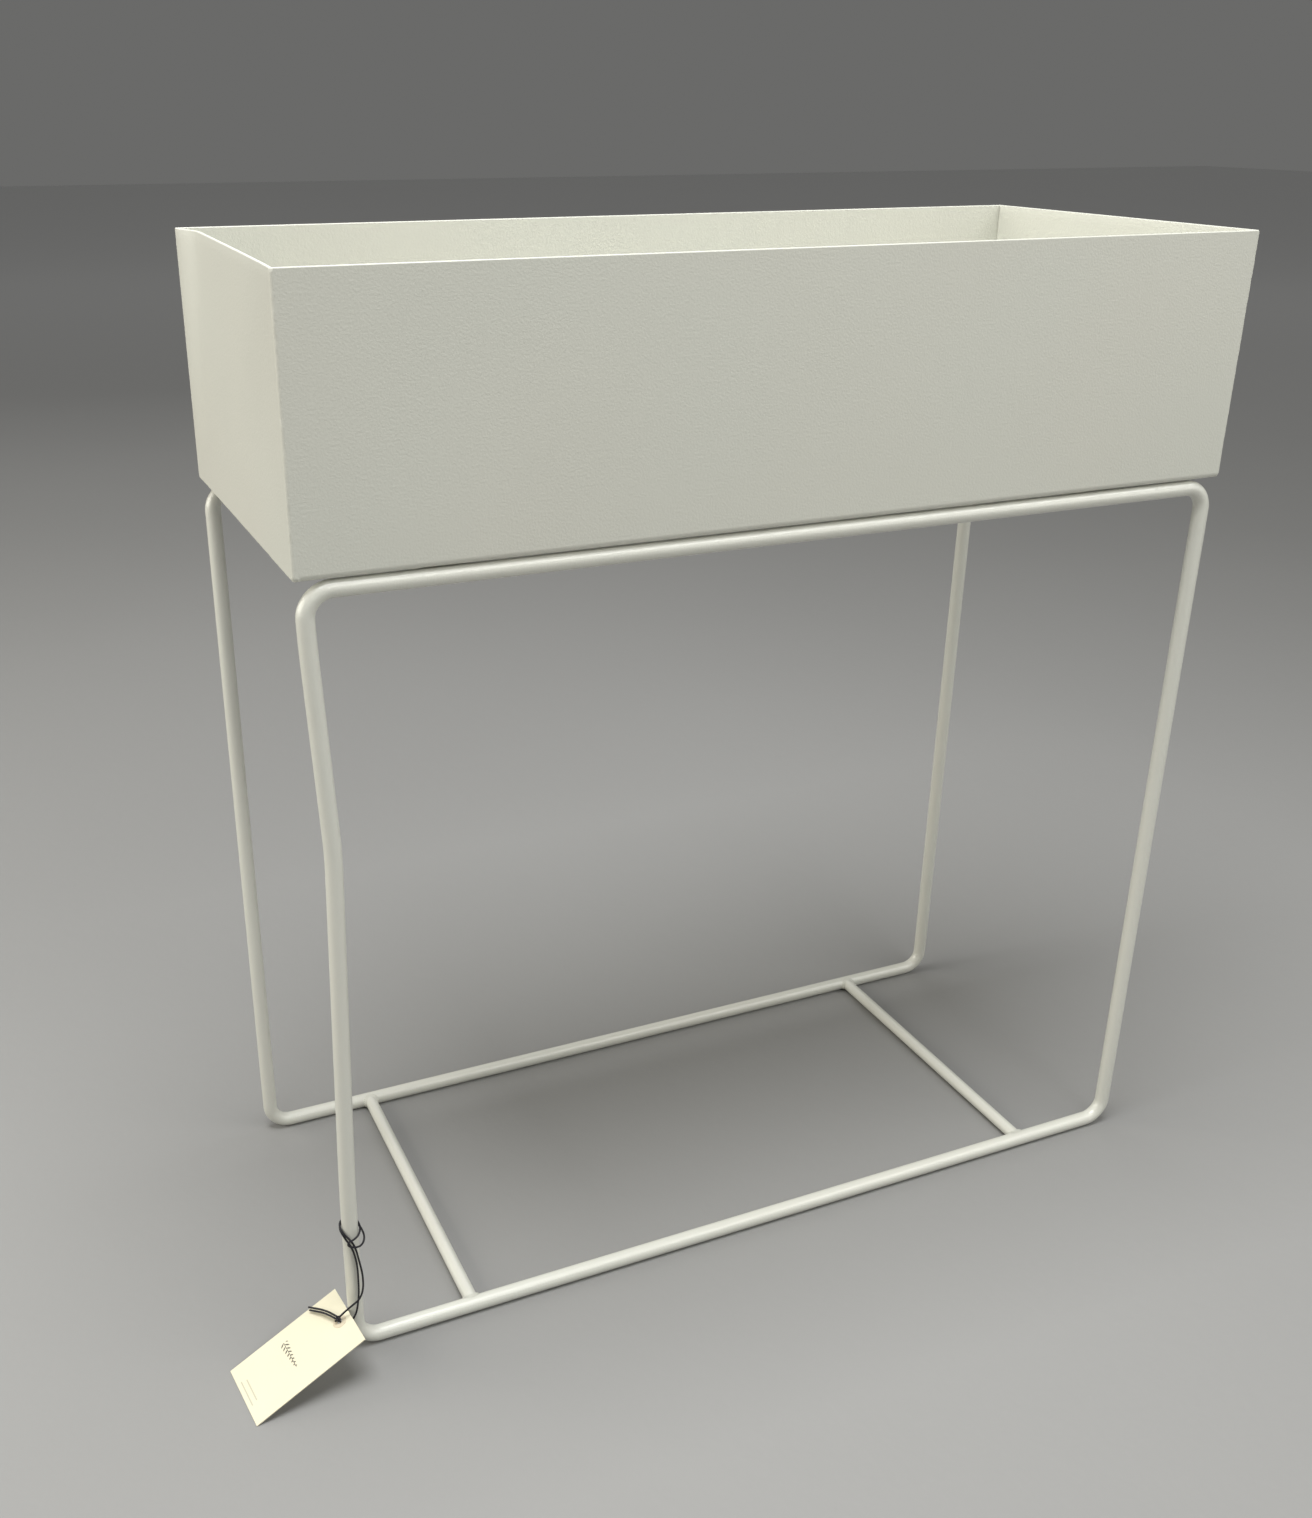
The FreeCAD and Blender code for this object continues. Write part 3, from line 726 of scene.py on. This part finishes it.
def cardPrintGroup(s, card):
    # The card's print as one mask. The sprig is a row of cells along its stem; in a cell a leaf is where the
    # distance across it is under half its width, half * sin(pi * along / leaf). The lower leaves stand half
    # a cell further on, and all get shorter towards the tip. Under the sprig are two pale bars.
    group, _, end = makeGroup("cardPrint", [], [("Ink", "NodeSocketFloat")])
    matrix = cardMatrix(card)
    flat = addNode(group, "ShaderNodeMapping",
                   [("Vector", placeOn(group)), ("Location", matrix.to_translation()),
                    ("Rotation", matrix.to_euler())], vector_type="TEXTURE")
    axes = addNode(group, "ShaderNodeSeparateXYZ", [(0, flat.outputs[0])]).outputs
    u = calc(group, "SUBTRACT", axes[0], s["middle"][0])
    v = calc(group, "SUBTRACT", axes[1], s["middle"][1])

    def within(value, half):
        # 1 where |value| is under half, falling to 0 over the soft rim
        gap = calc(group, "SUBTRACT", half, calc(group, "ABSOLUTE", value))
        return calc(group, "ADD", calc(group, "DIVIDE", gap, s["soft"]), 0.5, clamp=True)

    lower = calc(group, "LESS_THAN", v, 0.0)
    cell = calc(group, "ADD", calc(group, "DIVIDE", u, s["pitch"]), calc(group, "MULTIPLY", lower, 0.5))
    share = calc(group, "MULTIPLY", calc(group, "FRACT", cell), s["pitch"])
    height = calc(group, "ABSOLUTE", v)
    along = calc(group, "ADD", calc(group, "MULTIPLY", share, math.cos(s["lean"])),
                 calc(group, "MULTIPLY", height, math.sin(s["lean"])))
    across = calc(group, "SUBTRACT", calc(group, "MULTIPLY", share, math.sin(s["lean"])),
                  calc(group, "MULTIPLY", height, math.cos(s["lean"])))
    middleShare, lessAlong = s["leafShare"]
    taper = calc(group, "ADD", calc(group, "MULTIPLY", u, -lessAlong / s["length"]), middleShare)
    leaf = calc(group, "MULTIPLY", taper, s["leaf"])
    part = calc(group, "DIVIDE", along, leaf)
    bulge = calc(group, "SINE", calc(group, "MULTIPLY", part, math.pi))
    width = calc(group, "MULTIPLY", bulge, s["leafHalf"])
    leaves = calc(group, "MULTIPLY", within(across, width), calc(group, "LESS_THAN", part, 1.0))
    stem = within(v, s["stemHalf"])
    ink = calc(group, "MULTIPLY", calc(group, "MAXIMUM", leaves, stem), within(u, s["length"] / 2))
    for middleU, middleV, length in s["bars"]:
        bar = calc(group, "MULTIPLY", within(calc(group, "SUBTRACT", axes[0], middleU), length / 2),
                   within(calc(group, "SUBTRACT", axes[1], middleV), s["barHalf"]))
        ink = calc(group, "MAXIMUM", ink, calc(group, "MULTIPLY", bar, s["barInk"]))
    upper = calc(group, "GREATER_THAN", axes[2], card["thickness"] / 4)
    group.links.new(calc(group, "MULTIPLY", ink, upper), end.inputs["Ink"])
    return group


groups = {"grain": coatGrainGroup(peel), "drift": toneDriftGroup(drifting),
          "fibre": fibreGroup("paperFibre", fibres), "ply": fibreGroup("plyFibre", fibres),
          "turned": fibreGroup("turnedMarks", fibres), "print": cardPrintGroup(printed, tag)}


def makeMaterial(name, look):
    # The finish of one material slot: look names the relief group, the tones and the shader's plain values
    material = bpy.data.materials.new(name)
    material.use_nodes = True
    tree = material.node_tree
    shader = tree.nodes["Principled BSDF"]
    drift = addNode(tree, "ShaderNodeGroup",
                    [("Tone", (*look["tone"], 1)), ("Warm", (*look.get("warm", look["tone"]), 1)),
                     ("Size", look.get("driftSize", 7.0)), ("Depth", look.get("driftDepth", 0.06))],
                    node_tree=groups["drift"])
    color = drift.outputs["Color"]
    if "ink" in look:
        marks = addNode(tree, "ShaderNodeGroup", node_tree=groups["print"])
        color = mixTones(tree, marks.outputs["Ink"], color, (*look["ink"], 1))
    # The far tone is painted light: the colour pales with distance from the middle, standing in for light
    # where the lamps' light fades.
    if "farPaintedLightTone" in look:
        reach = addNode(tree, "ShaderNodeVectorMath", [(0, placeOn(tree))], operation="LENGTH")
        fade = stretch(tree, reach.outputs["Value"], look["fade"], interpolation_type="SMOOTHSTEP")
        color = mixTones(tree, fade, color, (*look["farPaintedLightTone"], 1))
    tree.links.new(color, shader.inputs["Base Color"])
    relief = addNode(tree, "ShaderNodeGroup", [("Size", look["reliefSize"])],
                     node_tree=groups[look["relief"]])
    bump = addNode(tree, "ShaderNodeBump", [("Height", relief.outputs["Height"]),
                                            ("Distance", look["reliefDepth"]), ("Strength", 1.0)])
    tree.links.new(bump.outputs["Normal"], shader.inputs["Normal"])
    middle, half = look["roughness"], look.get("roughSpread", 0.04)
    rough = stretch(tree, drift.outputs["Drift"], (0.3, 0.7), (middle - half, middle + half))
    tree.links.new(rough, shader.inputs["Roughness"])
    for socket, value in look.get("plain", {}).items():
        shader.inputs[socket].default_value = value
    return material


greige = (0.612, 0.616, 0.552)
greigeWarm = (0.618, 0.615, 0.549)
coat = {"tone": greige, "warm": greigeWarm, "driftDepth": 0.04, "relief": "grain", "reliefSize": 720.0,
        "reliefDepth": 0.00013, "roughness": 0.46}
looks = {
    "coated_sheet": coat,
    "coated_seam": {**coat, "roughness": 0.62, "plain": {"Specular IOR Level": 0.25}},
    # The bars wear the sheet's coat, drawn about 8% lighter: painted light, standing in for the brighter
    # light from above that falls on the bars.
    "coated_bar": {**coat, "tone": (0.660, 0.663, 0.598), "warm": (0.666, 0.662, 0.594),
                   "reliefSize": 850.0, "roughness": 0.34,
                   "plain": {"Specular IOR Level": 0.8, "Coat Weight": 0.5, "Coat Roughness": 0.22}},
    "coated_bead": {**coat, "reliefSize": 900.0, "reliefDepth": 0.00015, "roughness": 0.38},
    "coated_flat": {**coat, "roughness": 0.42},
    "coated_nut": {**coat, "reliefSize": 900.0, "reliefDepth": 0.00012, "roughness": 0.42},
    "zinc_screw": {"tone": (0.62, 0.63, 0.64), "driftSize": 300.0, "driftDepth": 0.25,
                   "relief": "turned", "reliefSize": 2200.0, "reliefDepth": 0.00002,
                   "roughness": 0.36, "roughSpread": 0.07, "plain": {"Metallic": 1.0}},
    "zinc_washer": {"tone": (0.56, 0.57, 0.59), "driftSize": 300.0, "driftDepth": 0.3,
                    "relief": "turned", "reliefSize": 1600.0, "reliefDepth": 0.00003,
                    "roughness": 0.36, "roughSpread": 0.08, "plain": {"Metallic": 1.0}},
    "seal_rubber": {"tone": (0.028, 0.028, 0.030), "relief": "grain", "reliefSize": 2500.0,
                    "reliefDepth": 0.00004, "roughness": 0.72},
    "bush_nylon": {"tone": (0.70, 0.69, 0.64), "relief": "grain", "reliefSize": 1500.0,
                   "reliefDepth": 0.00003, "roughness": 0.42, "plain": {"Subsurface Weight": 0.1}},
    "card": {"tone": (0.70, 0.665, 0.51), "warm": (0.71, 0.66, 0.495), "ink": (0.10, 0.095, 0.075),
             "driftSize": 30.0, "driftDepth": 0.04,
             "relief": "fibre", "reliefSize": 1400.0, "reliefDepth": 0.00004, "roughness": 0.78},
    "patch_paper": {"tone": (0.60, 0.53, 0.39), "warm": (0.64, 0.56, 0.43),
                    "driftSize": 400.0, "driftDepth": 0.25,
                    "relief": "fibre", "reliefSize": 1800.0, "reliefDepth": 0.00005, "roughness": 0.80},
    "cord": {"tone": (0.006, 0.006, 0.010), "warm": (0.009, 0.008, 0.012),
             "driftSize": 900.0, "driftDepth": 0.6,
             "relief": "ply", "reliefSize": 14.0, "reliefDepth": 0.00006, "roughness": 0.55,
             "plain": {"Specular IOR Level": 0.35, "Sheen Weight": 0.05}},
}
finishes = {slot: makeMaterial(slot, look) for slot, look in looks.items()}
slotOf = {part["node"]: part["material_slot"] for part in frame["record"]["subparts"]}
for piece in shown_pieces():
    finish = finishes[slotOf[piece["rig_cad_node"]] if "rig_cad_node" in piece else piece["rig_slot"]]
    piece.data.materials.clear()
    piece.data.materials.append(finish)
print("finishes placed")


# Studio: a grey floor under soft lights, its tone paling from 1.6 m to 6.5 m out: painted light on the far
# floor, standing in for light where the lamps' light has faded. Each lamp has its place, aim, size, watts and
# tint.
studio = {"floorHalf": 14.0,
          "floorPaint": {"tone": (0.27, 0.268, 0.262), "farPaintedLightTone": (0.85, 0.85, 0.85), "fade": (1.6, 6.5),
                         "driftSize": 1.5, "driftDepth": 0.05,
                         "relief": "grain", "reliefSize": 60.0, "reliefDepth": 0.0003, "roughness": 0.75},
          "sky": (0.80, 0.80, 0.78), "skyStrength": 0.18,
          "lamps": {"over": ((-0.35, -0.3, 2.4), (-0.35, -0.3, 0.0), (1.4, 1.2), 62.0, (0.985, 0.995, 1.0)),
                    "frontHigh": ((1.1, -1.8, 2.3), (0.0, -0.1, 0.4), (3.0, 0.6), 33.0, (1.0, 1.0, 0.965)),
                    "frontLow": ((1.8, -2.0, 1.1), (0.1, 0, 0.5), (1.6, 1.2), 11.0, (1.0, 0.985, 0.93)),
                    "left": ((-2.3, 0.45, 1.1), (0, 0, 0.45), (2.4, 1.3), 39.0, (1.0, 0.96, 0.86)),
                    "rear": ((0.3, 2.4, 1.8), (0, 0, 0.5), (2.4, 1.4), 8.0, (1.0, 1.0, 1.0))}}


def makeStudio(s):
    half = s["floorHalf"]
    mesh = bpy.data.meshes.new("floor")
    mesh.from_pydata([(-half, -half, 0), (half, -half, 0), (half, half, 0), (-half, half, 0)], [],
                     [(0, 1, 2, 3)])
    floor = bpy.data.objects.new("floor", mesh)
    scene.collection.objects.link(floor)
    mesh.materials.append(makeMaterial("floorPaint", s["floorPaint"]))
    world = bpy.data.worlds.new("studioSky")
    world.use_nodes = True
    sky = world.node_tree.nodes["Background"].inputs
    sky["Color"].default_value = (*s["sky"], 1)
    sky["Strength"].default_value = s["skyStrength"]
    scene.world = world
    for name, (place, aim, size, watts, tint) in s["lamps"].items():
        lamp = bpy.data.lights.new(name, "AREA")
        lamp.shape, lamp.size, lamp.size_y, lamp.energy, lamp.color = "RECTANGLE", *size, watts, tint
        holder = bpy.data.objects.new(name, lamp)
        holder.matrix_world = (Matrix.Translation(place)
                               @ (Vector(aim) - Vector(place)).to_track_quat("-Z", "Y").to_matrix().to_4x4())
        scene.collection.objects.link(holder)


makeStudio(studio)
print("studio set up")
